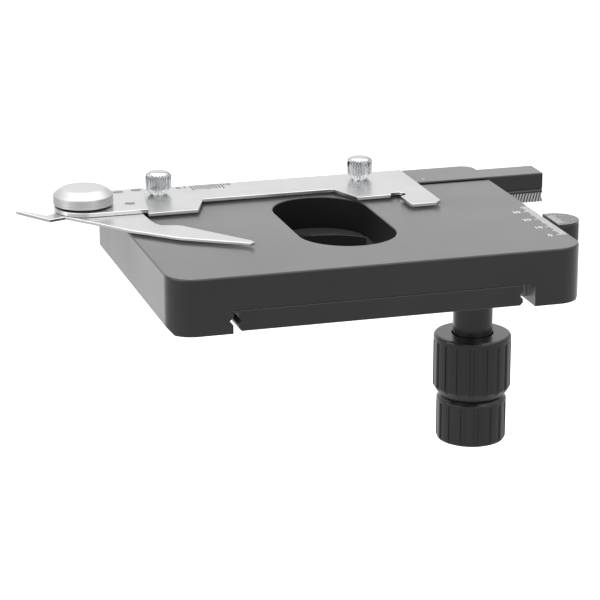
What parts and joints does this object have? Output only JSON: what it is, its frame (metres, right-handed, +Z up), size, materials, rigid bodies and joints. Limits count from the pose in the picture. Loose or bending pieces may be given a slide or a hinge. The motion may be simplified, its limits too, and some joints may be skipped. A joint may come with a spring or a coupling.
{
  "type": "mechanical microscope stage",
  "caption": "Ball guided cross stage with an obround light opening, a sheet specimen holder with a sprung clip, and coaxial drive knobs below.",
  "frame": {"origin": "centre of the base plate's underside, on the optical axis", "axes": "+Z up towards the specimen, +X to the right along the slider, +Y back along the plate's travel"},
  "size_m": [0.195, 0.11, 0.1066],
  "materials": {
    "black_plate": "black anodised, satin",
    "black_bar": "black anodised, satin",
    "black_bracket": "black anodised, satin",
    "vernier_face": "black anodised, fine brushed",
    "holder_sheet": "satin nickel",
    "clip_sheet": "satin nickel",
    "cap_metal": "satin nickel, turned",
    "thumb_chrome": "bright chrome",
    "rack_steel": "ground steel",
    "shaft_steel": "ground steel",
    "rail_steel": "ground steel",
    "ball_steel": "polished steel",
    "screw_steel": "oiled steel",
    "small_screw_steel": "nickel",
    "spring_steel": "tempered steel",
    "cage_brass": "brass",
    "bush_bronze": "sintered bronze",
    "knob_black": "black, semi gloss",
    "tube_black": "black anodised"
  },
  "bodies": {
    "base": {"base_plate": "black_plate", "y_rack": "rail_steel", "y_rack_screws": "screw_steel", "y_stop_pin": "rail_steel", "vernier_post": "black_bracket", "vernier_plate": "vernier_face", "vernier_plate_screws": "small_screw_steel", "vernier_post_screws": "screw_steel"},
    "stage": {"stage_plate": "black_plate", "rear_rail": "black_bar", "rear_rail_screws": "screw_steel", "gib_rail": "rail_steel", "gib_screws": "screw_steel", "drive_housing": "black_bracket", "drive_housing_screws": "screw_steel", "drive_tube": "tube_black", "tube_bushes": "bush_bronze", "x_shaft_bush": "bush_bronze", "x_thrust_washer": "bush_bronze", "y_thrust_washer": "bush_bronze"},
    "y_cages": {"y_ball_cage_left": "cage_brass", "y_ball_cage_right": "cage_brass", "y_balls": "ball_steel"},
    "x_cages": {"x_ball_cage_front": "cage_brass", "x_ball_cage_rear": "cage_brass", "x_balls": "ball_steel"},
    "slider": {"slider_bar": "black_bar", "x_rack": "rack_steel", "x_rack_screws": "screw_steel", "x_rack_dowels": "rail_steel", "x_stop_pin": "rail_steel", "specimen_holder": "holder_sheet", "pivot_bracket": "holder_sheet", "pivot_bracket_screws": "small_screw_steel", "clip_spring": "spring_steel"},
    "clip": {"clip_lever": "clip_sheet", "pivot_pin": "shaft_steel", "pivot_cap": "cap_metal"},
    "left_thumb_screw": {"thumb_screw_left": "thumb_chrome"},
    "right_thumb_screw": {"thumb_screw_right": "thumb_chrome"},
    "y_drive": {"y_knob": "knob_black", "y_shaft": "shaft_steel", "y_pinion": "shaft_steel", "y_knob_screws": "screw_steel"},
    "x_drive": {"x_knob": "knob_black", "x_shaft": "shaft_steel", "x_pinion": "shaft_steel", "x_knob_screw": "screw_steel"}
  },
  "joints": [
    {"name": "y_slide", "type": "slide", "parent": "base", "child": "stage", "axis": [0, 1, 0], "range_m": [-0.015, 0.015]},
    {"name": "y_cage_slide", "type": "slide", "parent": "base", "child": "y_cages", "axis": [0, 1, 0], "range_m": [-0.0076, 0.0076]},
    {"name": "x_slide", "type": "slide", "parent": "stage", "child": "slider", "axis": [1, 0, 0], "range_m": [-0.026, 0.048]},
    {"name": "x_cage_slide", "type": "slide", "parent": "stage", "child": "x_cages", "axis": [1, 0, 0], "range_m": [-0.0131, 0.0241]},
    {"name": "clip_pivot", "type": "hinge", "parent": "slider", "child": "clip", "pos_m": [-0.0793, 0.0325, 0.021], "axis": [0, 0, 1], "range_deg": [-30, 0], "stiffness_Nm_per_rad": 0.12, "springref_deg": 8.59},
    {"name": "left_screw_turn", "type": "hinge", "parent": "slider", "child": "left_thumb_screw", "pos_m": [-0.0502, 0.044, 0.02], "axis": [0, 0, 1], "range_deg": [0, 720]},
    {"name": "right_screw_turn", "type": "hinge", "parent": "slider", "child": "right_thumb_screw", "pos_m": [0.0233, 0.044, 0.02], "axis": [0, 0, 1], "range_deg": [0, 720]},
    {"name": "y_knob_turn", "type": "hinge", "parent": "stage", "child": "y_drive", "pos_m": [0.0634, 0.03303, -0.05], "axis": [0, 0, 1], "range_deg": [-172, 172]},
    {"name": "x_knob_turn", "type": "hinge", "parent": "stage", "child": "x_drive", "pos_m": [0.0634, 0.03303, -0.05], "axis": [0, 0, 1], "range_deg": [-563, 305]}
  ],
  "couplings": [
    {"joint": "y_knob_turn", "follows": "y_slide", "rad_per_m": 200},
    {"joint": "x_knob_turn", "follows": "x_slide", "rad_per_m": -204.43},
    {"joint": "y_cage_slide", "follows": "y_slide", "ratio": 0.5},
    {"joint": "x_cage_slide", "follows": "x_slide", "ratio": 0.5}
  ]
}
